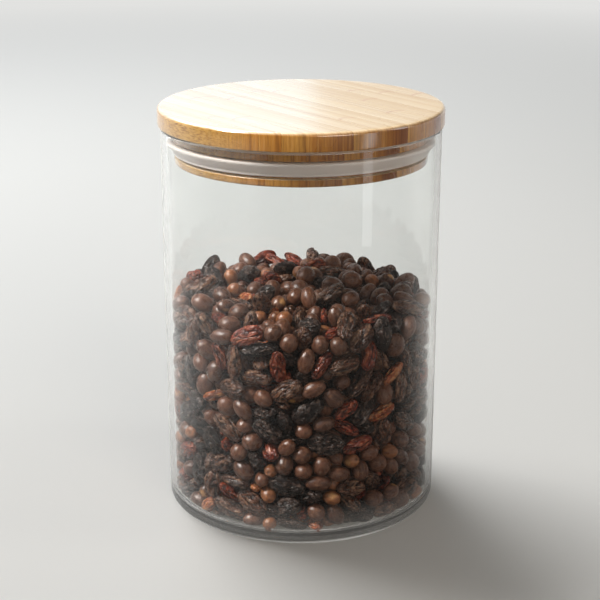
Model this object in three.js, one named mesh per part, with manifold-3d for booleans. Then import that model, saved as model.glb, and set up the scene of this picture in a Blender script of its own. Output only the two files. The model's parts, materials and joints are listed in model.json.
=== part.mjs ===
// A straight-sided glass storage canister with a turned bamboo lid and a silicone seal,
// part filled with dried fruit. Millimetres, +Z up. The origin is the centre of the foot,
// on the surface that the canister stands on.
import * as THREE from 'three';
import { mergeVertices } from 'three/addons/utils/BufferGeometryUtils.js';
import Module from 'manifold-3d';

const wasm = await Module();
wasm.setup();

// ---------------------------------------------------------------- driving dimensions

const roundSides = 80; // facets around every turned surface
const arcSteps = 2; // half the points along a rounded edge

// Glass jar
const jarRadius = 50;
const jarHeight = 142; // foot to the top of the rim
const wallThickness = 2;
const baseThickness = 2.8;
const puntDepth = 0.6; // shallow hollow under the base
const footWidth = 9; // flat ring that the jar stands on
const heelRound = 3; // outer corner of the base
const floorRound = 3.5; // inner corner of the base

// Lid, one board glued up from staves and turned to a stepped plug
const lidOverhang = 1; // how far the lid's edge stands proud of the glass
const lidThickness = 6.5; // the part above the rim
const lidTopRound = 1.3;
const lidUnderRound = 0.5;
const rimGap = 0.1; // lid to rim, at rest
const plugClearance = 1.7; // land to glass, all round
const landDepth = 4; // plug above the seal's groove
const grooveWidth = 6.2;
const grooveDepth = 3.2;
const flangeThickness = 2.6; // plug below the seal's groove
const flangeSetback = 1.1; // flange inside the land
const flangeRound = 0.6;
const grainAngle = THREE.MathUtils.degToRad(-52); // run of the staves, from +X

// Staves: the two at the edges hold on to the core, and the others share the rest
const innerStaveParts = [5, 9, 11, 8.5, 6.5, 6.5, 7, 8, 7.5, 7, 6.5];
const edgeStaveHold = 2; // how far an edge stave reaches into the core
const glueLine = 0.3;

// Silicone seal
const sealClearance = 0.2; // to the glass, and to the groove's floor
const sealTopGap = 0.3; // to the groove's upper wall
const sealBottomGap = 1; // to the flange
const sealFoot = 2.4; // thickness at the bottom edge
const sealLipHeight = 1.3; // upright part of the lip
const sealEdgeRound = 0.4;

// Dried fruit, as one solid
const fillLevel = 80; // height at the glass, above the foot
const fillMound = 3; // extra height in the middle
const fillGap = 0.3; // to the glass

// ---------------------------------------------------------------- derived sizes

const boreRadius = jarRadius - wallThickness;
const floorHeight = puntDepth + baseThickness;
const lidRadius = jarRadius + lidOverhang;
const lidSeat = jarHeight + rimGap; // underside of the lid's disc
const landRadius = boreRadius - plugClearance;
const coreRadius = landRadius - grooveDepth;
const flangeRadius = landRadius - flangeSetback;
const grooveTop = -landDepth; // heights on the plug are measured from the lid's seat
const grooveBottom = grooveTop - grooveWidth;
const plugBottom = grooveBottom - flangeThickness;
const sealTop = lidSeat + grooveTop - sealTopGap;
const sealBottom = lidSeat + grooveBottom + sealBottomGap;

// ---------------------------------------------------------------- materials

const glass = new THREE.MeshStandardMaterial({
  color: 0xe4eceb,
  roughness: 0.03,
  metalness: 0,
  transparent: true,
  opacity: 0.3,
});
const silicone = new THREE.MeshStandardMaterial({ color: 0xd8d3cf, roughness: 0.5, metalness: 0 });
const driedFruit = new THREE.MeshStandardMaterial({ color: 0x5a3526, roughness: 0.6, metalness: 0 });

function bamboo(index) {
  const warmth = ((index * 5) % 7) / 7;
  const color = new THREE.Color(0xd8bf94).lerp(new THREE.Color(0xb98a4e), warmth);
  return new THREE.MeshStandardMaterial({ color, roughness: 0.45, metalness: 0 });
}

// ---------------------------------------------------------------- shape helpers

// Turns an outline of radius and height about the Z axis.
function turned(outline) {
  const geometry = new THREE.LatheGeometry(outline.getPoints(arcSteps), roundSides);
  geometry.rotateX(Math.PI / 2);
  return geometry;
}

// Rounds a corner with a quarter or half turn about a centre, in degrees.
function roundCorner(outline, radius, height, size, from, to) {
  const start = THREE.MathUtils.degToRad(from);
  const end = THREE.MathUtils.degToRad(to);
  outline.absarc(radius, height, size, start, end, from > to);
}

// Leaves out the triangles that close up to a line where a turned surface meets its axis.
function openTriangles(index) {
  const kept = [];
  for (let start = 0; start < index.length; start += 3) {
    const [a, b, c] = index.slice(start, start + 3);
    if (a !== b && b !== c && c !== a) {
      kept.push(a, b, c);
    }
  }
  return new Uint32Array(kept);
}

function toSolid(geometry) {
  const bare = geometry.clone();
  bare.deleteAttribute('normal');
  bare.deleteAttribute('uv');
  const merged = mergeVertices(bare);
  const mesh = new wasm.Mesh({
    numProp: 3,
    vertProperties: new Float32Array(merged.attributes.position.array),
    triVerts: openTriangles(merged.index.array),
  });
  return new wasm.Manifold(mesh);
}

function toGeometry(solid) {
  const mesh = solid.getMesh();
  const geometry = new THREE.BufferGeometry();
  geometry.setAttribute('position', new THREE.BufferAttribute(mesh.vertProperties, 3));
  geometry.setIndex(new THREE.BufferAttribute(mesh.triVerts, 1));
  geometry.computeVertexNormals();
  return geometry;
}

function named(name, geometry, material) {
  const mesh = new THREE.Mesh(geometry, material);
  mesh.name = name;
  return mesh;
}

// ---------------------------------------------------------------- glass jar

function glassJar() {
  const footInner = jarRadius - heelRound - footWidth;
  const rimRound = wallThickness / 2;
  const outline = new THREE.Path();
  outline.moveTo(0, puntDepth);
  outline.lineTo(footInner - puntDepth, puntDepth);
  outline.lineTo(footInner, 0);
  roundCorner(outline, jarRadius - heelRound, heelRound, heelRound, -90, 0);
  roundCorner(outline, jarRadius - rimRound, jarHeight - rimRound, rimRound, 0, 90);
  roundCorner(outline, jarRadius - rimRound, jarHeight - rimRound, rimRound, 90, 180);
  roundCorner(outline, boreRadius - floorRound, floorHeight + floorRound, floorRound, 0, -90);
  outline.lineTo(0, floorHeight);
  return named('glass_jar', turned(outline), glass);
}

// ---------------------------------------------------------------- dried fruit

function fruitFill() {
  const radius = boreRadius - fillGap;
  const bottom = floorHeight + fillGap;
  const corner = floorRound;
  const outline = new THREE.Path();
  outline.moveTo(0, bottom);
  outline.lineTo(radius - corner, bottom);
  roundCorner(outline, radius - corner, bottom + corner, corner, -90, 0);
  outline.lineTo(radius, fillLevel);
  outline.quadraticCurveTo(radius / 2, fillLevel + fillMound, 0, fillLevel + fillMound);
  return named('dried_fruit_fill', turned(outline), driedFruit);
}

// ---------------------------------------------------------------- silicone seal

function siliconeSeal() {
  const inner = coreRadius + sealClearance;
  const foot = inner + sealFoot;
  const lip = boreRadius - sealClearance;
  const lipBottom = sealTop - sealLipHeight;
  const outline = new THREE.Path();
  outline.moveTo(inner, sealBottom);
  outline.lineTo(foot - sealEdgeRound, sealBottom);
  roundCorner(outline, foot - sealEdgeRound, sealBottom + sealEdgeRound, sealEdgeRound, -90, 0);
  outline.quadraticCurveTo(foot, lipBottom - sealLipHeight, lip, lipBottom);
  roundCorner(outline, lip - sealEdgeRound, sealTop - sealEdgeRound, sealEdgeRound, 0, 90);
  outline.lineTo(inner, sealTop);
  outline.lineTo(inner, sealBottom);
  return named('silicone_seal', turned(outline), silicone);
}

// ---------------------------------------------------------------- lid

// The whole stepped lid, with the underside of its disc at height 0.
function lidBlank() {
  const outline = new THREE.Path();
  outline.moveTo(0, plugBottom);
  outline.lineTo(flangeRadius - flangeRound, plugBottom);
  roundCorner(outline, flangeRadius - flangeRound, plugBottom + flangeRound, flangeRound, -90, 0);
  outline.lineTo(flangeRadius, grooveBottom);
  outline.lineTo(coreRadius, grooveBottom);
  outline.lineTo(coreRadius, grooveTop);
  outline.lineTo(landRadius, grooveTop);
  outline.lineTo(landRadius, 0);
  roundCorner(outline, lidRadius - lidUnderRound, lidUnderRound, lidUnderRound, -90, 0);
  roundCorner(outline, lidRadius - lidTopRound, lidThickness - lidTopRound, lidTopRound, 0, 90);
  outline.lineTo(0, lidThickness);
  return toSolid(turned(outline));
}

function staveWidths() {
  const edge = lidRadius - coreRadius + edgeStaveHold;
  const inside = 2 * (lidRadius - edge);
  const partsTotal = innerStaveParts.reduce((sum, part) => sum + part, 0);
  const inner = innerStaveParts.map((part) => (part * inside) / partsTotal);
  return [edge, ...inner, edge];
}

// One stave of the lid, between two glue lines that run along X.
function lidStave(blank, from, width) {
  const height = lidThickness - plugBottom;
  const slab = new THREE.BoxGeometry(4 * lidRadius, width - glueLine, 2 * height);
  slab.translate(0, from + width / 2, 0);
  return toGeometry(blank.intersect(toSolid(slab)));
}

function lid() {
  const group = new THREE.Group();
  const blank = lidBlank();
  let from = -lidRadius;
  staveWidths().forEach((width, index) => {
    const number = String(index + 1).padStart(2, '0');
    group.add(named(`lid_stave_${number}`, lidStave(blank, from, width), bamboo(index)));
    from += width;
  });
  group.rotation.z = grainAngle;
  group.position.z = lidSeat;
  return group;
}

// ---------------------------------------------------------------- canister

const canister = new THREE.Group();
canister.add(glassJar(), fruitFill(), siliconeSeal(), lid());

export default canister;
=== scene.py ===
"""A lidded glass canister, part filled with raisins and dried berries.

Sizes and places are in metres, +Z up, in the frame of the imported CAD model, which gives the
canister's own sizes. The fruit is poured by a rigid body simulation, at one unit to a centimetre.
"""

import itertools
import json
import math

import bmesh
import bpy
import numpy as np
from mathutils import Euler, Matrix, Vector

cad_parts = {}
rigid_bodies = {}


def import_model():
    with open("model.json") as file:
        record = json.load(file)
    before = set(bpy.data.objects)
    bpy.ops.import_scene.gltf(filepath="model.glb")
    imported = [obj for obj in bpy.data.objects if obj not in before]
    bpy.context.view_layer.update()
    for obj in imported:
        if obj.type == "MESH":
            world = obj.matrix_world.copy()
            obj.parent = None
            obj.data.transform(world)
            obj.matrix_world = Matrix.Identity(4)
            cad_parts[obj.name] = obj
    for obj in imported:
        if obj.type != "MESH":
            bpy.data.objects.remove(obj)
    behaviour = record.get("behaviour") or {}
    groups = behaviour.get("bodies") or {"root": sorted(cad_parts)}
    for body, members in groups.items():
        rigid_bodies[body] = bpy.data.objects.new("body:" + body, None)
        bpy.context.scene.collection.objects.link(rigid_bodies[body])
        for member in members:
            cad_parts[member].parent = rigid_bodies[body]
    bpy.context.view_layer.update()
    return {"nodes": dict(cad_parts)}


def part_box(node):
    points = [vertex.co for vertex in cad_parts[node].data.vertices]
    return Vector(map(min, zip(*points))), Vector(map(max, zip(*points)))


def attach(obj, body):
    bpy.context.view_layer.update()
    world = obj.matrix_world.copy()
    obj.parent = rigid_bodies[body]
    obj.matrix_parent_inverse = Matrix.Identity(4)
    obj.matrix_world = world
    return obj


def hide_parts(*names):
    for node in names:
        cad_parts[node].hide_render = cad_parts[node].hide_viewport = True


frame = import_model()
scene = bpy.context.scene

MM = 0.001
SEED = 11

# ------------------------------------------------------------------ sizes shared with the CAD model

WALL = 2.0 * MM
BASE = 2.8 * MM
PUNT = 0.6 * MM
FOOT_WIDTH = 9.0 * MM
HEEL_ROUND = 3.0 * MM
FLOOR_ROUND = 3.5 * MM
LID_TOP_ROUND = 1.3 * MM
LID_UNDER_ROUND = 0.5 * MM
LAND_DEPTH = 4.0 * MM
GROOVE_WIDTH = 6.2 * MM
LAND_CLEARANCE = 1.7 * MM
GROOVE_DEPTH = 3.2 * MM
FLANGE_SETBACK = 1.1 * MM
FLANGE_ROUND = 0.6 * MM
SEAT_GAP = 0.1 * MM
GRAIN_ANGLE = math.radians(-52)

STAVES = sorted(name for name in frame["nodes"] if name.startswith("lid_stave_"))

_, glass_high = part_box("glass_jar")
seal_low, seal_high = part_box("silicone_seal")
_, fill_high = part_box("dried_fruit_fill")

JAR_RADIUS = glass_high.x
JAR_HEIGHT = glass_high.z
BORE_RADIUS = JAR_RADIUS - WALL
FLOOR_HEIGHT = PUNT + BASE


def node_points(name):
    """The corners of a CAD node, as an array of (x, y, z)."""
    return np.array([vertex.co for vertex in frame["nodes"][name].data.vertices])


def across_grain(points):
    """Each point's distance from the middle of the lid, across the staves."""
    return points[:, 1] * math.cos(GRAIN_ANGLE) - points[:, 0] * math.sin(GRAIN_ANGLE)


lid_points = np.vstack([node_points(name) for name in STAVES])
LID_TOP = lid_points[:, 2].max()
PLUG_BOTTOM = lid_points[:, 2].min()
LID_RADIUS = np.hypot(lid_points[:, 0], lid_points[:, 1]).max()
LID_SEAT = JAR_HEIGHT + SEAT_GAP
LAND_RADIUS = BORE_RADIUS - LAND_CLEARANCE
CORE_RADIUS = LAND_RADIUS - GROOVE_DEPTH
FLANGE_RADIUS = LAND_RADIUS - FLANGE_SETBACK
GROOVE_TOP = LID_SEAT - LAND_DEPTH
GROOVE_BOTTOM = GROOVE_TOP - GROOVE_WIDTH


# ------------------------------------------------------------------ camera

CAMERA_PLACE = (-0.0004, -0.515, 0.2469)
CAMERA_PITCH = math.radians(18.44)  # downwards
FOCAL_LENGTH = 88  # millimetres, on a sensor 36 mm wide


def make_camera():
    """Looks down on the front of the canister."""
    camera = bpy.data.objects.new("camera", bpy.data.cameras.new("camera"))
    scene.collection.objects.link(camera)
    camera.location = CAMERA_PLACE
    camera.rotation_euler = (math.pi / 2 - CAMERA_PITCH, 0, 0)
    camera.data.sensor_width = 36
    camera.data.lens = FOCAL_LENGTH
    camera.data.clip_start = 0.01
    camera.data.clip_end = 50
    scene.camera = camera


# ------------------------------------------------------------------ mesh helpers

def arc(radius, height, size, start, end, steps=8):
    """Points of an arc about (radius, height), from and to an angle in degrees."""
    angles = np.radians(np.linspace(start, end, steps + 1))
    return [(radius + size * math.cos(a), height + size * math.sin(a)) for a in angles]


def curve(start, control, end, steps=10):
    """Points of a quadratic curve."""
    points = []
    for t in np.linspace(0, 1, steps + 1):
        shares = ((1 - t) ** 2, 2 * t * (1 - t), t * t)
        radius = sum(share * point[0] for share, point in zip(shares, (start, control, end)))
        height = sum(share * point[1] for share, point in zip(shares, (start, control, end)))
        points.append((radius, height))
    return points


def revolve(outline, sides):
    """A closed bmesh: the outline of (radius, height) points turned about Z.

    The outline runs up the outside. It starts and ends on the axis, or closes on itself.
    """
    on_axis = outline[0][0] == 0
    work = bmesh.new()
    rings = []
    for radius, height in outline:
        if radius == 0:
            rings.append([work.verts.new((0, 0, height))] * sides)
            continue
        ring = []
        for side in range(sides):
            angle = 2 * math.pi * side / sides
            ring.append(work.verts.new((radius * math.cos(angle), radius * math.sin(angle), height)))
        rings.append(ring)
    if not on_axis:
        rings.append(rings[0])
    for lower, upper in zip(rings, rings[1:]):
        for side in range(sides):
            after = (side + 1) % sides
            corners = [lower[side], lower[after], upper[after], upper[side]]
            corners = [corner for index, corner in enumerate(corners) if corner not in corners[:index]]
            work.faces.new(corners)
    bmesh.ops.recalc_face_normals(work, faces=work.faces)
    return work


def finish_piece(work, name, material, body, replaces, crease=40):
    """Turns a bmesh into a smooth piece that rides on a body and stands for CAD nodes."""
    mesh = bpy.data.meshes.new(name)
    work.to_mesh(mesh)
    work.free()
    mesh.shade_smooth()
    mesh.set_sharp_from_angle(angle=math.radians(crease))
    return place_piece(mesh, name, material, body, replaces)


def place_piece(mesh, name, material, body, replaces=()):
    """Makes a mesh a piece that rides on a body, fills a material slot and stands for CAD nodes."""
    piece = bpy.data.objects.new(name, mesh)
    scene.collection.objects.link(piece)
    mesh.materials.append(material)
    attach(piece, body)
    if replaces:
        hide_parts(*replaces)
    return piece


# ------------------------------------------------------------------ material helpers

def paint(red, green, blue):
    """A colour given from 0 to 255, as a shader reads it."""
    linear = []
    for value in (red, green, blue):
        share = value / 255
        linear.append(share / 12.92 if share < 0.04045 else ((share + 0.055) / 1.055) ** 2.4)
    return (*linear, 1)


class Nodes:
    """Adds nodes to a new material or a new world, and links them."""

    def __init__(self, owner, output="OutputMaterial"):
        self.owner = owner
        owner.use_nodes = True
        self.tree = owner.node_tree
        self.tree.nodes.clear()
        self.output = self.tree.nodes.new("ShaderNode" + output)

    def add(self, kind, inputs=None, **settings):
        node = self.tree.nodes.new("ShaderNode" + kind)
        for key, value in settings.items():
            setattr(node, key, value)
        for key, value in (inputs or {}).items():
            self.feed(node.inputs[key], value)
        return node

    def feed(self, socket, value):
        if isinstance(value, bpy.types.NodeSocket):
            self.tree.links.new(value, socket)
        else:
            socket.default_value = value

    def math(self, operation, *values, clamp=False):
        node = self.add("Math", operation=operation, use_clamp=clamp)
        for socket, value in zip(node.inputs, values):
            self.feed(socket, value)
        return node.outputs[0]

    def spread(self, value, low, high, to_low=0.0, to_high=1.0):
        """Maps low..high to to_low..to_high, and holds it there."""
        inputs = {"Value": value, "From Min": low, "From Max": high, "To Min": to_low, "To Max": to_high}
        return self.add("MapRange", inputs).outputs[0]

    def mix(self, share, first, second, blend="MIX"):
        node = self.add("Mix", data_type="RGBA", blend_type=blend)
        self.feed(node.inputs[0], share)
        self.feed(node.inputs[6], first)
        self.feed(node.inputs[7], second)
        return node.outputs[2]

    def ramp(self, value, *stops):
        """A colour ramp through (place, colour) stops."""
        node = self.add("ValToRGB", {"Fac": value})
        elements = node.color_ramp.elements
        while len(elements) < len(stops):
            elements.new(0.5)
        for element, (place, colour) in zip(elements, stops):
            element.position = place
            element.color = colour
        return node.outputs[0]

    def attribute(self, name):
        return self.add("Attribute", attribute_name=name)

    def noise(self, place, scale, detail=3.0, roughness=0.5, distortion=0.0):
        inputs = {"Vector": place, "Scale": scale, "Detail": detail,
                  "Roughness": roughness, "Distortion": distortion}
        return self.add("TexNoise", inputs).outputs[0]

    def stretch(self, place, x, y, z, turn=0.0):
        """Coordinates turned about Z and then scaled."""
        turned = self.add("Mapping", {"Vector": place, "Rotation": (0, 0, turn)}).outputs[0]
        return self.add("Mapping", {"Vector": turned, "Scale": (x, y, z)}).outputs[0]

    def bump(self, height, distance, strength=1.0, normal=None):
        inputs = {"Height": height, "Distance": distance, "Strength": strength}
        if normal is not None:
            inputs["Normal"] = normal
        return self.add("Bump", inputs).outputs[0]

    def finish(self, shader):
        self.tree.links.new(shader, self.output.inputs["Surface"])
        return self.owner


def material_nodes(name):
    return Nodes(bpy.data.materials.new(name))


# ------------------------------------------------------------------ glass jar

def glass_material():
    """Clear glass. Light on its way to what is inside passes straight through.

    The rounded rim, the heel, the inner corner and the edges seen through their depth get a pale diffuse
    layer: a painted highlight that stands in for the light glass gathers there.
    """
    n = material_nodes("clear_glass")
    surface = n.add("BsdfPrincipled", {
        "Base Color": paint(252, 253, 252), "Roughness": 0.0, "IOR": 1.45, "Transmission Weight": 1.0})
    pale_front = n.add("BsdfDiffuse", {"Color": paint(240, 240, 238)})
    pale_back = n.add("BsdfTranslucent", {"Color": paint(240, 240, 238)})
    pale = n.add("MixShader", {0: 0.5, 1: pale_front.outputs[0], 2: pale_back.outputs[0]})
    # Painted highlight: a pale diffuse layer mixed in at grazing edges and where the mesh marks it
    grazing = n.add("LayerWeight", {"Blend": 0.5}).outputs["Facing"]
    highlight_share = n.spread(grazing, 0.74, 0.99, 0.0, 0.55)
    highlight_share = n.math("MAXIMUM", highlight_share, n.attribute("painted_glass_highlight").outputs["Fac"])
    seen = n.add("MixShader", {0: highlight_share, 1: surface.outputs[0], 2: pale.outputs[0]})
    clear = n.add("BsdfTransparent", {"Color": paint(250, 250, 250)})
    path = n.add("LightPath")
    passing = n.math("MAXIMUM", path.outputs["Is Shadow Ray"], path.outputs["Is Diffuse Ray"])
    mixed = n.add("MixShader", {0: passing, 1: seen.outputs[0], 2: clear.outputs[0]})
    return n.finish(mixed.outputs[0])


# Strength of the painted highlight on the glass's rim, heel and inner corner
PALE_RIM = 0.35
PALE_HEEL = 0.6
PALE_CORNER = 0.18
RING_CLEARANCE = 0.6 * MM  # from a rounding to the next ring, so that its paleness ends there


def painted_highlight_shares(points):
    """How strongly the painted highlight, a pale layer, shows at each point: on the rim, the heel and the
    inner corner.
    """
    radius = np.hypot(points[:, 0], points[:, 1])
    height = points[:, 2]
    on_rim = height > JAR_HEIGHT - 0.9 * MM
    on_heel = (height < 2.0 * MM) & (height > 0.2 * MM) & (radius > JAR_RADIUS - HEEL_ROUND)
    on_corner = (height < FLOOR_HEIGHT + 2.0 * MM) & (radius > BORE_RADIUS - FLOOR_ROUND)
    return np.maximum.reduce([PALE_RIM * on_rim, PALE_HEEL * on_heel, PALE_CORNER * on_corner])


def make_glass():
    """The jar, turned from an outline that runs up the outside and down the inside."""
    foot_inner = JAR_RADIUS - HEEL_ROUND - FOOT_WIDTH
    rim = WALL / 2
    outline = [(0, PUNT), (foot_inner - 6 * MM, PUNT)]
    outline += curve((foot_inner - 5 * MM, PUNT), (foot_inner - 2 * MM, 0), (foot_inner + 1 * MM, 0), 6)
    outline += arc(JAR_RADIUS - HEEL_ROUND, HEEL_ROUND, HEEL_ROUND, -90, 0, 10)
    top_ring = JAR_HEIGHT - rim - RING_CLEARANCE
    outside = np.linspace(HEEL_ROUND + RING_CLEARANCE, top_ring, 12)
    outline += [(JAR_RADIUS, height) for height in outside]
    outline += arc(JAR_RADIUS - rim, JAR_HEIGHT - rim, rim, 0, 180, 14)
    inside = np.linspace(top_ring, FLOOR_HEIGHT + FLOOR_ROUND + RING_CLEARANCE, 12)
    outline += [(BORE_RADIUS, height) for height in inside]
    outline += arc(BORE_RADIUS - FLOOR_ROUND, FLOOR_HEIGHT + FLOOR_ROUND, FLOOR_ROUND, 0, -90, 10)
    outline += [(BORE_RADIUS - FLOOR_ROUND - 2 * MM, FLOOR_HEIGHT), (0, FLOOR_HEIGHT)]
    work = revolve(outline, 256)
    glass = finish_piece(work, "glass_jar_clear", glass_material(), "jar", ["glass_jar"])
    corners = np.array([vertex.co for vertex in glass.data.vertices])
    glass.data.attributes.new("painted_glass_highlight", "FLOAT", "POINT").data.foreach_set("value", painted_highlight_shares(corners))


# ------------------------------------------------------------------ silicone seal

def silicone_material():
    """Milky silicone, with the faint rings that its mould leaves."""
    n = material_nodes("milky_silicone")
    place = n.add("TexCoord").outputs["Object"]
    rings = n.noise(n.stretch(place, 0.02, 0.02, 1.0), 1800, 3, 0.6)
    cloud = n.noise(place, 90, 3)
    colour = n.mix(cloud, paint(240, 228, 220), paint(248, 238, 232))
    surface = n.add("BsdfPrincipled", {
        "Base Color": colour, "Roughness": 0.38, "IOR": 1.41,
        "Transmission Weight": 0.12, "Subsurface Weight": 0.35, "Subsurface Scale": 0.002,
        "Subsurface Radius": (1.0, 0.95, 0.9), "Normal": n.bump(rings, 0.00004)})
    return n.finish(surface.outputs[0])


def make_seal():
    """A thick foot in the lid's groove, and a lip that flares up and out to the glass."""
    inner = CORE_RADIUS + 0.2 * MM
    foot = inner + 2.4 * MM
    lip = BORE_RADIUS - 0.05 * MM
    low, high = seal_low.z, seal_high.z
    edge = 0.4 * MM
    lip_low = high - 0.8 * MM
    flare_start = (foot + 0.02 * MM, low + 2 * edge)
    flare_bend = (foot + 0.7 * MM, lip_low - 2.4 * MM)
    outline = [(inner + edge, low)]
    outline += arc(foot - edge, low + edge, edge, -90, 0, 6)
    outline += curve(flare_start, flare_bend, (lip, lip_low), 16)
    outline += arc(lip - edge, high - edge, edge, 0, 90, 6)
    outline += arc(inner + edge, high - edge, edge, 90, 180, 4)
    outline += arc(inner + edge, low + edge, edge, 180, 260, 4)
    work = revolve(outline, 192)
    finish_piece(work, "silicone_seal_ring", silicone_material(), "seal",
                 ["silicone_seal"])


# ------------------------------------------------------------------ bamboo lid

# From the stave at -across to the one at +across: how dark each is where it was turned
STAVE_TONES = (0.15, 0.45, 0.25, 0.6, 0.25, 0.5, 1.0, 0.2, 0.4, 0.95, 0.35, 0.6, 0.4)


def bamboo_material():
    """Side pressed bamboo under satin lacquer, in the stave's own tone.

    Every pattern is in millimetres along the staves, across them and up. The fibre bundles show
    as long lines on the top, as upright lines where the turning cuts across the staves, and as
    short flecks where it runs along them.
    """
    n = material_nodes("bamboo")
    tone = n.attribute("tone").outputs["Fac"]
    within = n.attribute("within").outputs["Fac"]
    node_place = n.attribute("node_place").outputs["Fac"]
    source = n.add("TexCoord")
    place = n.stretch(source.outputs["Object"], 1000, 1000, 1000, -GRAIN_ANGLE)
    facing = n.add("SeparateXYZ", {0: n.stretch(source.outputs["Normal"], 1, 1, 1, -GRAIN_ANGLE)})
    along = n.add("SeparateXYZ", {0: place}).outputs["X"]
    endwise = n.spread(n.math("ABSOLUTE", facing.outputs["X"]), 0.15, 0.6)
    side = n.spread(n.math("ABSOLUTE", facing.outputs["Z"]), 0.35, 0.95, 1.0, 0.0)

    shift = n.add("CombineXYZ", {"X": n.math("MULTIPLY", tone, 240), "Z": n.math("MULTIPLY", tone, 130)})
    moved = n.add("VectorMath", {0: place, 1: shift.outputs[0]}, operation="ADD").outputs[0]
    bands = n.noise(n.stretch(moved, 0.01, 1.0, 0.03), 0.34, 2, 0.5)
    lines = n.noise(n.stretch(moved, 0.006, 1.0, 0.02), 1.3, 4, 0.7)
    fibres = n.noise(n.stretch(moved, 0.02, 1.0, 0.05), 4.2, 2, 0.6)
    flecks = n.noise(n.stretch(moved, 0.28, 1.3, 1.3), 1.7, 2, 0.6)
    clouds = n.noise(n.stretch(moved, 0.3, 1.0, 0.6), 0.10, 2)

    graded = n.math("ADD", n.math("MULTIPLY", within, 0.20), n.math("MULTIPLY", tone, 0.26))
    graded = n.math("ADD", graded, n.math("MULTIPLY", bands, 0.5))
    graded = n.math("ADD", graded, n.math("MULTIPLY", clouds, 0.25))
    top = n.ramp(n.spread(graded, 0.25, 0.95),
                 (0.0, paint(233, 213, 180)), (0.5, paint(222, 197, 158)), (1.0, paint(203, 171, 128)))
    top = n.mix(n.spread(lines, 0.48, 0.68, 0.0, 0.55), top, paint(170, 124, 82))
    top = n.mix(n.spread(fibres, 0.52, 0.72, 0.0, 0.25), top, paint(168, 124, 84))
    gap = n.math("SUBTRACT", along, node_place)
    bent = n.math("MULTIPLY", n.math("MULTIPLY", within, within), 1.6)
    node = n.spread(n.math("ABSOLUTE", n.math("SUBTRACT", gap, bent)), 0.2, 1.3, 1.0, 0.0)
    top = n.mix(n.math("MULTIPLY", node, n.spread(lines, 0.3, 0.6, 0.15, 0.5)), top, paint(186, 132, 108))

    turned = n.math("ADD", n.math("MULTIPLY", tone, 0.60), n.math("MULTIPLY", bands, 0.55))
    turned = n.math("ADD", turned, n.math("MULTIPLY", within, 0.12))
    ends = n.ramp(n.spread(turned, 0.25, 1.0),
                  (0.0, paint(200, 146, 66)), (0.4, paint(178, 118, 44)),
                  (0.7, paint(148, 88, 30)), (1.0, paint(112, 56, 18)))
    ends = n.mix(n.spread(lines, 0.48, 0.66, 0.0, 0.62), ends, paint(84, 44, 20))
    ends = n.mix(n.spread(lines, 0.30, 0.44, 0.45, 0.0), ends, paint(214, 170, 108))
    ends = n.mix(n.spread(fibres, 0.5, 0.7, 0.0, 0.35), ends, paint(96, 56, 28))
    faces = n.ramp(n.spread(flecks, 0.34, 0.70),
                   (0.0, paint(188, 149, 82)), (0.5, paint(171, 129, 64)), (1.0, paint(120, 78, 34)))
    rim = n.mix(endwise, faces, ends)
    coloured = n.mix(side, top, rim)
    relief = n.math("ADD", lines, n.math("MULTIPLY", fibres, 0.5))
    rough = n.spread(clouds, 0.3, 0.7, 0.24, 0.32)
    surface = n.add("BsdfPrincipled", {
        "Base Color": coloured, "Roughness": rough, "IOR": 1.5,
        "Coat Weight": 1.0, "Coat Roughness": 0.17, "Coat IOR": 1.75,
        "Normal": n.bump(relief, 0.00005, 0.6)})
    return n.finish(surface.outputs[0])


def lid_outline():
    """The turned profile, from the plug's underside to the middle of the top."""
    small = 0.3 * MM
    outline = [(0, PLUG_BOTTOM)]
    outline += arc(FLANGE_RADIUS - FLANGE_ROUND, PLUG_BOTTOM + FLANGE_ROUND, FLANGE_ROUND, -90, 0, 5)
    outline += arc(FLANGE_RADIUS - small, GROOVE_BOTTOM - small, small, 0, 90, 3)
    outline += [(CORE_RADIUS, GROOVE_BOTTOM), (CORE_RADIUS, GROOVE_TOP)]
    outline += arc(LAND_RADIUS - small, GROOVE_TOP + small, small, -90, 0, 3)
    outline += [(LAND_RADIUS, LID_SEAT)]
    outline += arc(LID_RADIUS - LID_UNDER_ROUND, LID_SEAT + LID_UNDER_ROUND, LID_UNDER_ROUND, -90, 0, 5)
    outline += arc(LID_RADIUS - LID_TOP_ROUND, LID_TOP - LID_TOP_ROUND, LID_TOP_ROUND, 0, 90, 8)
    outline += [(LID_RADIUS - 4 * MM, LID_TOP), (0, LID_TOP)]
    return outline


def cut_away(work, distance, keep_above):
    """Cuts the lid along a glue line and closes the cut."""
    normal = Vector((-math.sin(GRAIN_ANGLE), math.cos(GRAIN_ANGLE), 0))
    everything = work.verts[:] + work.edges[:] + work.faces[:]
    cut = bmesh.ops.bisect_plane(
        work, geom=everything, plane_co=normal * distance, plane_no=normal, dist=1e-7,
        clear_inner=keep_above, clear_outer=not keep_above)
    rim = [item for item in cut["geom_cut"] if isinstance(item, bmesh.types.BMEdge)]
    bmesh.ops.contextual_create(work, geom=rim)


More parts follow.
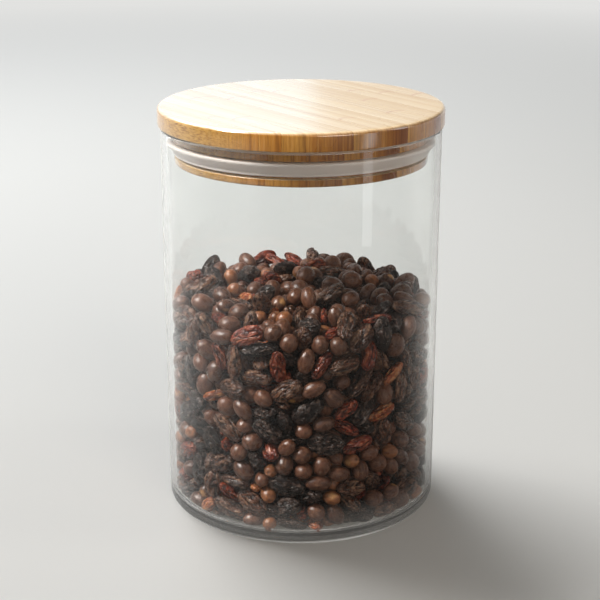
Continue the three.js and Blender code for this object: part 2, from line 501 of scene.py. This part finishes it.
def make_lid():
    """One piece for each stave: the turned lid, cut along the glue lines on both its sides."""
    material = bamboo_material()
    picks = np.random.default_rng(SEED)
    glue = 0.05 * MM
    spans = {}
    for name in STAVES:
        across = across_grain(node_points(name))
        spans[name] = (across.min(), across.max())
    ordered = sorted(STAVES, key=lambda name: spans[name][0])
    for index, name in enumerate(ordered):
        work = revolve(lid_outline(), 288)
        if index > 0:
            edge = (spans[ordered[index - 1]][1] + spans[name][0]) / 2
            cut_away(work, edge + glue / 2, True)
        if index < len(ordered) - 1:
            edge = (spans[name][1] + spans[ordered[index + 1]][0]) / 2
            cut_away(work, edge - glue / 2, False)
        bmesh.ops.recalc_face_normals(work, faces=work.faces)
        stave = finish_piece(work, name + "_bamboo", material, "lid", [name], 35)
        corners = np.array([vertex.co for vertex in stave.data.vertices])
        low, high = spans[name]
        values = {
            "tone": np.full(len(corners), STAVE_TONES[index]),
            "within": (2 * across_grain(corners) - low - high) / (high - low),
            "node_place": np.full(len(corners), picks.uniform(-34, 34)),
        }
        for label, numbers in values.items():
            stave.data.attributes.new(label, "FLOAT", "POINT").data.foreach_set("value", numbers)


# ------------------------------------------------------------------ dried fruit: what there is

class Kind:
    """One kind of fruit: its share of the pour, its size ranges and its form.

    Length and width are in millimetres. Flatness is depth as a share of width.
    """

    def __init__(self, name, share, length, width, flatness, wrinkled):
        self.name = name
        self.share = share
        self.length = length
        self.width = width
        self.flatness = flatness
        self.wrinkled = wrinkled


KINDS = [
    Kind("black_raisin", 0.13, (10.8, 15.0), (7.0, 9.4), (0.60, 0.82), True),
    Kind("brown_raisin", 0.20, (10.8, 15.5), (6.6, 9.2), (0.58, 0.78), True),
    Kind("red_raisin", 0.09, (10.0, 13.5), (5.8, 7.8), (0.58, 0.78), True),
    Kind("golden_raisin", 0.05, (8.6, 12.0), (4.8, 6.4), (0.60, 0.80), True),
    Kind("brown_berry", 0.40, (7.2, 10.2), (6.0, 7.6), (0.86, 1.0), False),
    Kind("small_berry", 0.14, (5.2, 7.0), (4.8, 6.0), (0.9, 1.0), False),
]
FRUIT_COUNT = 2080
CENTIMETRE = 0.01


class Fruit:
    """One piece of fruit: its kind, half sizes in metres, and its place once poured."""

    def __init__(self, kind, half, seed):
        self.kind = kind
        self.half = half
        self.seed = seed
        self.matrix = Matrix.Identity(4)


def choose_fruit():
    """Picks each piece's kind and size, and the seed of its shape."""
    picks = np.random.default_rng(SEED + 1)
    shares = np.array([kind.share for kind in KINDS])
    chosen = []
    for index in picks.choice(len(KINDS), FRUIT_COUNT, p=shares / shares.sum()):
        kind = KINDS[index]
        length = picks.uniform(*kind.length)
        width = min(picks.uniform(*kind.width), length)
        depth = width * picks.uniform(*kind.flatness)
        half = np.array([length, width, depth]) / 2 * MM
        chosen.append(Fruit(kind, half, int(picks.integers(1 << 30))))
    return chosen


# ------------------------------------------------------------------ dried fruit: the pour

POUR_FRAMES = 60
GRAVITY = 20  # times the world's. With a unit to a centimetre, true gravity is 100 times
WALL_BLOCKS = 32

# How the fruit is set out before it falls, in centimetres
PITCH = 1.25
LAYER_HEIGHT = 1.08
FIRST_LAYER = 0.8


def start_places(count, radius):
    """Places for the fruit before it falls: layers of a square grid inside the jar."""
    reach = int(radius / PITCH) + 1
    layer = []
    for x in range(-reach, reach + 1):
        for y in range(-reach, reach + 1):
            if math.hypot(x * PITCH, y * PITCH) < radius - PITCH * 0.55:
                layer.append((x * PITCH, y * PITCH))
    places = []
    height = FLOOR_HEIGHT / CENTIMETRE + FIRST_LAYER
    while len(places) < count:
        places += [(x, y, height) for x, y in layer]
        height += LAYER_HEIGHT
    return places[:count]


def rigid(objects, form, shape, friction):
    """Makes the objects rigid bodies, active or passive."""
    for other in bpy.context.selected_objects:
        other.select_set(False)
    for item in objects:
        item.select_set(True)
    bpy.context.view_layer.objects.active = objects[0]
    bpy.ops.rigidbody.objects_add(type=form)
    for item in objects:
        item.rigid_body.collision_shape = shape
        item.rigid_body.friction = friction
        item.rigid_body.restitution = 0.0
        item.rigid_body.use_margin = True
        item.rigid_body.collision_margin = 0.0
        item.rigid_body.linear_damping = 0.15
        item.rigid_body.angular_damping = 0.3


def jar_walls(radius, floor):
    """Thick blocks round and under the fruit, in centimetres."""
    blocks = []
    cube = bpy.data.meshes.new("block")
    work = bmesh.new()
    bmesh.ops.create_cube(work, size=2)
    work.to_mesh(cube)
    work.free()
    for side in range(WALL_BLOCKS):
        angle = 2 * math.pi * side / WALL_BLOCKS
        block = bpy.data.objects.new("wall", cube)
        block.location = ((radius + 1) * math.cos(angle), (radius + 1) * math.sin(angle), 40)
        block.rotation_euler = (0, 0, angle)
        block.scale = (1, 1.2 * math.pi * (radius + 2) / WALL_BLOCKS, 42)
        blocks.append(block)
    base = bpy.data.objects.new("wall", cube)
    base.location = (0, 0, floor - 1)
    base.scale = (radius + 3, radius + 3, 1)
    blocks.append(base)
    for block in blocks:
        scene.collection.objects.link(block)
    return blocks


def pour(fruits):
    """Drops the fruit into the jar and reads where each piece comes to rest."""
    radius = (BORE_RADIUS - 0.25 * MM) / CENTIMETRE
    floor = (FLOOR_HEIGHT + 0.15 * MM) / CENTIMETRE
    picks = np.random.default_rng(SEED + 2)
    ball = bmesh.new()
    bmesh.ops.create_icosphere(ball, subdivisions=2, radius=1)
    hull = bpy.data.meshes.new("hull")
    ball.to_mesh(hull)
    ball.free()
    proxies = []
    for fruit, place in zip(fruits, start_places(len(fruits), radius)):
        proxy = bpy.data.objects.new("proxy", hull.copy())
        proxy.data.transform(Matrix.Diagonal((*(fruit.half / CENTIMETRE), 1)))
        turn = Euler(picks.uniform(-0.5, 0.5, 3), "XYZ")
        turn.z = picks.uniform(0, 2 * math.pi)
        proxy.rotation_euler = turn
        proxy.location = Vector(place) + Vector(picks.uniform(-0.05, 0.05, 3))
        scene.collection.objects.link(proxy)
        proxies.append(proxy)
    walls = jar_walls(radius, floor)
    bpy.ops.rigidbody.world_add()
    world = scene.rigidbody_world
    world.substeps_per_frame = 8
    world.solver_iterations = 12
    world.point_cache.frame_start = 1
    world.point_cache.frame_end = POUR_FRAMES + 1
    world.effector_weights.gravity = GRAVITY
    rigid(walls, "PASSIVE", "BOX", 0.3)
    rigid(proxies, "ACTIVE", "CONVEX_HULL", 0.4)
    for number in range(1, POUR_FRAMES + 1):
        scene.frame_set(number)
    for fruit, proxy in zip(fruits, proxies):
        place, turn, _ = proxy.matrix_world.decompose()
        fruit.matrix = Matrix.LocRotScale(place * CENTIMETRE, turn, None)
    bpy.ops.rigidbody.world_remove()
    bpy.data.batch_remove(proxies + walls)
    scene.frame_set(1)


MOUND = 3 * MM
HALF_PIECE = 3.5 * MM


def below_surface(fruits):
    """The fruit whose middle lies under a slightly mounded surface near the fill's top."""
    kept = []
    for fruit in fruits:
        place = fruit.matrix.translation
        mound = MOUND * (1 - (math.hypot(place.x, place.y) / BORE_RADIUS) ** 2)
        if place.z < fill_high.z - HALF_PIECE + mound:
            kept.append(fruit)
    return kept


# ------------------------------------------------------------------ dried fruit: shapes

class Lattice:
    """Smooth noise, about -1 to 1, from random slopes on a unit lattice."""

    def __init__(self, seed):
        picks = np.random.default_rng(seed)
        self.order = np.tile(picks.permutation(256), 3)
        slopes = picks.normal(size=(256, 3))
        self.slopes = slopes / np.linalg.norm(slopes, axis=1)[:, None]

    def __call__(self, points):
        cell = np.floor(points).astype(int)
        inside = points - cell
        cell &= 255
        fade = inside ** 3 * (inside * (inside * 6 - 15) + 10)
        total = np.zeros(len(points))
        for corner in itertools.product((0, 1), repeat=3):
            x, y, z = (cell + corner).T
            key = self.order[self.order[self.order[x] + y] + z]
            weight = np.where(corner, fade, 1 - fade).prod(axis=1)
            total += weight * (self.slopes[key] * (inside - corner)).sum(axis=1)
        return total * 1.6


LATTICE = Lattice(SEED + 3)


def ball_grid(around, along):
    """A unit ball with its poles on X: the points' lengthwise and round angles, and triangles."""
    theta = np.linspace(0, math.pi, along + 1)[1:-1]
    phi = 2 * math.pi * np.arange(around) / around
    lengthwise = np.concatenate([[0], np.repeat(theta, around), [math.pi]])
    roundwise = np.concatenate([[0], np.tile(phi, along - 1), [0]])
    last = len(lengthwise) - 1
    triangles = []
    for side in range(around):
        after = (side + 1) % around
        triangles.append((0, 1 + side, 1 + after))
        low = 1 + (along - 2) * around
        triangles.append((last, low + after, low + side))
        for ring in range(along - 2):
            here = 1 + ring * around
            there = here + around
            triangles.append((here + side, there + side, there + after))
            triangles.append((here + side, there + after, here + after))
    return lengthwise, roundwise, np.array(triangles)


def wrinkled_form(fruit, theta, phi, picks):
    """A raisin: lumpy and pinched, with creases that run from end to end."""
    along, out = np.cos(theta), np.sin(theta)
    ball = np.stack([along, out * np.cos(phi), out * np.sin(phi)], axis=1)
    start = picks.uniform(0, 200, 3)
    lumps = LATTICE(ball * 1.3 + start)
    pinch_side = np.cos(phi - picks.uniform(0, 2 * math.pi)).clip(0)
    pinch_place = (along - picks.uniform(-0.3, 0.3)) / 0.5
    pinch = picks.uniform(0.05, 0.32) * pinch_side ** 2 * np.exp(-pinch_place ** 2)
    turns = picks.uniform(2.0, 2.8)
    lengthwise = picks.uniform(1.0, 1.7) if fruit.kind.name == "black_raisin" else picks.uniform(0.6, 1.1)
    warp = LATTICE(ball * 1.7 + start + 31) * 0.9
    swirl = phi + warp * 0.6 + picks.uniform(-0.5, 0.5) * along
    across = np.stack([np.cos(swirl) * turns, np.sin(swirl) * turns, along * lengthwise], axis=1)
    crease = (1 - np.abs(LATTICE(across + start + 57)) / 0.30).clip(0) ** 1.1
    fine = (1 - np.abs(LATTICE(across * 1.8 + start + 83)) / 0.34).clip(0)
    fade = out ** 0.35
    size = 0.98 - 0.12 * np.abs(lumps) - 0.10 * (-lumps).clip(0) - pinch
    size = size - fade * (0.20 * crease + 0.07 * fine)
    taper = 1 - 0.16 * picks.uniform(0, 1) * along
    radial = out ** picks.uniform(0.72, 0.95) * size * np.minimum(taper, 1)
    ends = 0.94 + 0.05 * LATTICE(ball * 2.0 + start + 11)
    shape = np.stack([along * ends, radial * np.cos(phi), radial * np.sin(phi)], axis=1)
    # The second value marks where shade is painted: the creases
    return shape * fruit.half, (crease + 0.45 * fine).clip(0, 1), np.zeros(len(theta))


def smooth_form(fruit, theta, phi, picks):
    """A berry: an even, slightly tapered oval with a small navel at one end."""
    along, out = np.cos(theta), np.sin(theta)
    ball = np.stack([along, out * np.cos(phi), out * np.sin(phi)], axis=1)
    start = picks.uniform(0, 200, 3)
    small = fruit.kind.name == "small_berry"
    taper = picks.uniform(0, 0.06 if small else 0.22)
    lumps = LATTICE(ball * 1.1 + start)
    size = 0.99 - 0.035 * np.abs(lumps) - taper * (1 + along) / 2
    reach = 0.30 if small else 0.16
    navel = np.exp(-(theta / reach) ** 2)
    ring = np.exp(-((theta - reach * 1.5) / (reach * 0.6)) ** 2)
    sink = (0.22 if small else 0.05) * navel - (0.02 if small else 0.0) * ring
    folds = 0.0
    if picks.uniform() < 0.14:
        folds = 0.06 * (1 - np.abs(LATTICE(ball * 2.4 + start + 9)) / 0.25).clip(0)
    scar = np.zeros(len(theta))
    if picks.uniform() < 0.3:
        middle = picks.normal(size=3)
        away = np.arccos((ball @ middle / np.linalg.norm(middle)).clip(-1, 1))
        scar = ((0.42 + 0.25 * LATTICE(ball * 3.1 + start + 21) - away) / 0.12).clip(0, 1)
    ripple = np.abs(LATTICE(ball * 4.0 + start + 45))
    shape = ball * (size - folds - scar * (0.02 + 0.07 * ripple))[:, None]
    shape[:, 0] -= sink
    # The second value marks where shade is painted: the navel and the folds
    return shape * fruit.half, (navel * 0.9 + folds * 8).clip(0, 1), scar


# Points round and along a piece, by whether it is wrinkled and whether it is in sight
GRIDS = {
    (True, True): ball_grid(56, 30),
    (True, False): ball_grid(12, 8),
    (False, True): ball_grid(20, 13),
    (False, False): ball_grid(8, 6),
}
MOST_FACES = 180000
SEEN_FROM_SIDE = 8.5 * MM
SEEN_FROM_TOP = 9 * MM
FRUIT_CLEARANCE = 0.05 * MM


def in_sight(fruit, level):
    """Whether a piece of fruit lies near the glass or near the top of the fill."""
    place = fruit.matrix.translation
    beside_glass = math.hypot(place.x, place.y) > BORE_RADIUS - SEEN_FROM_SIDE
    return beside_glass or place.z > level - SEEN_FROM_TOP


def fruit_arrays(fruit, near):
    """Points in the jar, triangles, and the values that the shader reads, for one piece.

    A piece that touches the glass is pressed flat against it.
    """
    theta, phi, triangles = GRIDS[(fruit.kind.wrinkled, near)]
    picks = np.random.default_rng(fruit.seed)
    form = wrinkled_form if fruit.kind.wrinkled else smooth_form
    points, crease, scar = form(fruit, theta, phi, picks)
    turn = np.array(fruit.matrix.to_3x3())
    placed = points @ turn.T + np.array(fruit.matrix.translation)
    radius = np.hypot(placed[:, 0], placed[:, 1])
    pressed = np.minimum(1, (BORE_RADIUS - FRUIT_CLEARANCE) / radius.clip(1e-6))
    placed[:, :2] *= pressed[:, None]
    tone = np.full(len(points), picks.uniform(0, 1))
    own = points / MM + picks.uniform(0, 400, 3)
    return placed, triangles, tone, crease, scar, own


def joined_mesh(name, parts):
    """One mesh of many pieces of fruit."""
    mesh = bpy.data.meshes.new(name)
    starts = np.cumsum([0] + [len(part[0]) for part in parts])
    points = np.concatenate([part[0] for part in parts])
    triangles = np.concatenate([part[1] + start for part, start in zip(parts, starts)])
    mesh.vertices.add(len(points))
    mesh.vertices.foreach_set("co", points.ravel())
    mesh.loops.add(len(triangles) * 3)
    mesh.loops.foreach_set("vertex_index", triangles.ravel())
    mesh.polygons.add(len(triangles))
    mesh.polygons.foreach_set("loop_start", np.arange(len(triangles)) * 3)
    # crease marks where shade is painted; tone and scar are the piece's own colour
    for column, label in ((2, "tone"), (3, "crease"), (4, "scar")):
        values = np.concatenate([part[column] for part in parts])
        mesh.attributes.new(label, "FLOAT", "POINT").data.foreach_set("value", values)
    own = np.concatenate([part[5] for part in parts])
    mesh.attributes.new("own_place", "FLOAT_VECTOR", "POINT").data.foreach_set("vector", own.ravel())
    mesh.update(calc_edges=True)
    mesh.shade_smooth()
    return mesh


def make_fruit(fruits):
    """Builds each kind of fruit as one piece, or several where the mesh would be too heavy."""
    level = np.percentile([fruit.matrix.translation.z for fruit in fruits], 97)
    replaces = ["dried_fruit_fill"]
    for kind in KINDS:
        material = fruit_material(kind)
        batches = [[]]
        faces = 0
        for fruit in (fruit for fruit in fruits if fruit.kind is kind):
            arrays = fruit_arrays(fruit, in_sight(fruit, level))
            if faces + len(arrays[1]) > MOST_FACES:
                batches.append([])
                faces = 0
            batches[-1].append(arrays)
            faces += len(arrays[1])
        for number, batch in enumerate(batches, 1):
            name = f"{kind.name}_batch_{number}"
            place_piece(joined_mesh(name, batch), name, material, "jar", replaces)
            replaces = []


# ------------------------------------------------------------------ dried fruit: materials

# The darkest colour, painted into the creases, fold valleys and navel as shade and used for dark streaks on
# berries; the two body colours that a piece lies between; and the crests' colour, lighter as dust and as a
# painted highlight, also used for light streaks on berries
SKINS = {
    "black_raisin": (paint(9, 5, 5), paint(40, 27, 23), paint(60, 42, 35), paint(116, 98, 88)),
    "brown_raisin": (paint(20, 9, 5), paint(68, 38, 26), paint(94, 56, 38), paint(156, 120, 94)),
    "red_raisin": (paint(30, 6, 3), paint(88, 24, 11), paint(128, 50, 22), paint(176, 106, 74)),
    "golden_raisin": (paint(84, 36, 12), paint(146, 72, 30), paint(182, 104, 48), paint(220, 166, 112)),
    "brown_berry": (paint(28, 15, 10), paint(66, 38, 26), paint(98, 60, 42), paint(140, 104, 80)),
    "small_berry": (paint(36, 18, 9), paint(92, 52, 30), paint(136, 82, 46), paint(176, 126, 86)),
}
# Roughness of the skin, before its mottling changes it
ROUGHNESS = {
    "black_raisin": 0.19, "brown_raisin": 0.24, "red_raisin": 0.18,
    "golden_raisin": 0.25, "brown_berry": 0.26, "small_berry": 0.32,
}
# In millimetres
FOLD_DEPTH = {"black_raisin": 1.0, "brown_raisin": 0.85, "red_raisin": 0.8, "golden_raisin": 0.7}


def raisin_folds(n, own, kind):
    """Rounded folds between narrow valleys, from 0 in a valley to 1, that run lengthwise."""
    reach = 0.42 if kind.name == "black_raisin" else 0.30
    coarse = n.noise(n.stretch(own, reach, 1.0, 1.0), 0.34, 1.0, 0.5, 0.6)
    fine = n.noise(n.stretch(own, reach, 1.0, 1.0), 0.75, 1.0, 0.5, 0.4)
    folds = []
    for noise, width in ((coarse, 0.10), (fine, 0.12)):
        away = n.math("ABSOLUTE", n.math("SUBTRACT", noise, 0.5))
        folds.append(n.math("POWER", n.spread(away, 0.0, width), 0.7))
    return n.math("ADD", n.math("MULTIPLY", folds[0], 0.68), n.math("MULTIPLY", folds[1], 0.32))


def fruit_material(kind):
    """Dried skin: painted shade darkens its creases and fold valleys, and its crests are lighter, as dust
    and as a painted highlight; mottled and finely puckered.
    """
    n = material_nodes(kind.name + "_skin")
    crease_shade_and_dark_streak, body, other_body, crest = SKINS[kind.name]
    tone = n.attribute("tone").outputs["Fac"]
    crease = n.attribute("crease").outputs["Fac"]
    own = n.attribute("own_place").outputs["Vector"]
    mottle = n.noise(own, 0.5, 4, 0.6)
    grain = n.noise(own, 4.0, 3, 0.6)
    skin = n.mix(n.spread(n.math("ADD", tone, n.math("SUBTRACT", mottle, 0.5)), 0.0, 1.0), body, other_body)
    if kind.wrinkled:
        folds = raisin_folds(n, own, kind)
        # Crests lighter in patches: dust in part, and in part a painted highlight
        dust_and_highlight = n.math("MULTIPLY", n.spread(folds, 0.62, 0.95), n.spread(mottle, 0.40, 0.66, 0.05, 0.8))
        skin = n.mix(dust_and_highlight, skin, crest)
        # Painted shade: the valleys between the folds are darkened
        skin = n.mix(n.spread(folds, 0.15, 0.6, 0.85, 0.0), skin, crease_shade_and_dark_streak)
        relief = n.math("ADD", folds, n.math("MULTIPLY", grain, 0.10))
        normal = n.bump(relief, FOLD_DEPTH[kind.name] * MM, 1.0)
    else:
        streaks = n.noise(n.stretch(own, 0.22, 1.0, 1.0), 1.3, 3, 0.6)
        skin = n.mix(n.spread(streaks, 0.5, 0.72, 0.0, 0.55), skin, crest)
        skin = n.mix(n.spread(streaks, 0.28, 0.48, 0.55, 0.0), skin, crease_shade_and_dark_streak)
        scar = n.attribute("scar").outputs["Fac"]
        torn = n.mix(n.spread(grain, 0.35, 0.65), paint(222, 176, 116), paint(150, 96, 52))
        skin = n.mix(n.math("MULTIPLY", scar, 0.85), skin, torn)
        relief = n.math("ADD", n.math("MULTIPLY", mottle, 0.7), n.math("MULTIPLY", grain, 0.14))
        normal = n.bump(relief, 0.00032, 0.7)
    # Painted shade in the creases, and on berries in the navel and folds, where the crease attribute marks
    # them
    skin = n.mix(n.spread(crease, 0.3, 0.95, 0.0, 0.85), skin, crease_shade_and_dark_streak)
    middle = ROUGHNESS[kind.name]
    rough = n.spread(mottle, 0.3, 0.7, middle - 0.06, middle + 0.14)
    inputs = {"Base Color": skin, "Roughness": rough, "IOR": 1.58, "Normal": normal}
    if kind.name in ("red_raisin", "golden_raisin"):
        inputs.update({"Subsurface Weight": 0.35, "Subsurface Scale": 0.0016,
                       "Subsurface Radius": (1.0, 0.28, 0.1)})
    surface = n.add("BsdfPrincipled", inputs)
    return n.finish(surface.outputs[0])


# ------------------------------------------------------------------ light and floor

def area_light(name, place, target, size, watts, colour=(1, 1, 1)):
    """A soft rectangular light that faces a point."""
    lamp = bpy.data.lights.new(name, "AREA")
    lamp.shape = "RECTANGLE"
    lamp.size, lamp.size_y = size
    lamp.energy = watts
    lamp.color = colour
    holder = bpy.data.objects.new(name, lamp)
    scene.collection.objects.link(holder)
    holder.location = place
    aim = Vector(target) - Vector(place)
    holder.rotation_euler = aim.to_track_quat("-Z", "Y").to_euler()
    holder.visible_camera = False
    holder.visible_transmission = False
    return holder


BACKDROP = paint(226, 226, 224)
DIM = 0.09  # the strength of the backdrop where it is dim


def dim_share(n, gate):
    """1 where a ray lights something, or mirrors the room in the glass and the gate is open."""
    path = n.add("LightPath")
    mirrored = n.math("COMPARE", path.outputs["Glossy Depth"], 1.0, 0.1)
    mirrored = n.math("MULTIPLY", mirrored, gate)
    return n.math("ADD", path.outputs["Diffuse Depth"], mirrored, clamp=True)


def make_light(floor):
    """Soft lights. The key light leaves the floor out, so that the canister's shadow stays soft."""
    middle = (0, 0, 0.08)
    area_light("window", (-1.14, 1.75, 1.05), (-0.72, 0, 0.30), (2.5, 1.5), 8.2, (0.46, 0.74, 1.0))
    area_light("sky", (-0.55, 0.65, 1.15), middle, (0.85, 0.85), 18, (1.0, 0.99, 0.98))
    key = area_light("key", (-0.62, -0.26, 0.80), middle, (0.18, 0.18), 14, (1.0, 0.985, 0.96))
    area_light("front", (0.55, -1.05, 0.42), middle, (0.6, 0.5), 4.4, (1.0, 0.90, 0.78))
    area_light("right", (1.0, -0.1, 0.45), middle, (0.25, 0.6), 1.3, (1.0, 0.96, 0.9))
    area_light("right_card", (0.27, -0.22, 0.11), (0, 0, 0.11), (0.05, 0.18), 0.06)
    unlit = bpy.data.collections.new("not_lit_by_key")
    unlit.objects.link(floor)
    unlit.collection_objects[0].light_linking.link_state = "EXCLUDE"
    key.light_linking.receiver_collection = unlit
    make_world()


def make_world():
    """A pale backdrop. It is dim where it lights things, or where the glass mirrors the room."""
    n = Nodes(bpy.data.worlds.new("studio"), "OutputWorld")
    shown = n.add("Background", {"Color": BACKDROP, "Strength": 1.0})
    light = n.add("Background", {"Color": paint(236, 236, 238), "Strength": DIM})
    direction = n.add("SeparateXYZ", {0: n.add("TexCoord").outputs["Generated"]})
    in_front = n.spread(direction.outputs["Y"], 0.0, 0.15, 1.0, 0.0)
    high = n.spread(n.math("ABSOLUTE", direction.outputs["Z"]), 0.08, 0.28)
    dim = dim_share(n, n.math("MAXIMUM", in_front, high))
    mixed = n.add("MixShader", {0: dim, 1: shown.outputs[0], 2: light.outputs[0]})
    scene.world = n.finish(mixed.outputs[0])


def floor_material():
    """Pale where it is looked at. What it throws on the canister fades towards the front right.

    Far off it fades into the backdrop, so that no horizon shows.
    """
    n = material_nodes("pale_floor")
    ground = n.add("TexCoord").outputs["Object"]
    place = n.add("SeparateXYZ", {0: ground})
    lit_side = n.math("ADD", place.outputs["X"], n.math("MULTIPLY", place.outputs["Y"], -0.5))
    thrown = n.mix(n.spread(lit_side, -0.16, 0.06), paint(214, 213, 210), paint(66, 64, 60))
    dim = dim_share(n, n.spread(place.outputs["Y"], -0.04, 0.12, 1.0, 0.0))
    colour = n.mix(dim, paint(226, 225, 221), thrown)
    surface = n.add("BsdfPrincipled", {"Base Color": colour, "Roughness": 0.75})
    far = n.spread(n.add("VectorMath", {0: ground}, operation="LENGTH").outputs["Value"], 0.55, 1.5)
    strength = n.spread(dim, 0.0, 1.0, 1.0, DIM)
    backdrop = n.add("Emission", {"Color": BACKDROP, "Strength": strength})
    mixed = n.add("MixShader", {0: far, 1: surface.outputs[0], 2: backdrop.outputs[0]})
    return n.finish(mixed.outputs[0])


def make_floor():
    """A flat disc, far wider than the pictures."""
    work = bmesh.new()
    bmesh.ops.create_circle(work, segments=96, radius=6, cap_ends=True)
    mesh = bpy.data.meshes.new("floor")
    work.to_mesh(mesh)
    work.free()
    floor = bpy.data.objects.new("floor", mesh)
    scene.collection.objects.link(floor)
    mesh.materials.append(floor_material())
    return floor


# ------------------------------------------------------------------ the canister

scene.view_settings.view_transform = "Standard"
make_camera()
make_glass()
make_seal()
make_lid()
fruits = choose_fruit()
pour(fruits)
make_fruit(below_surface(fruits))
make_light(make_floor())
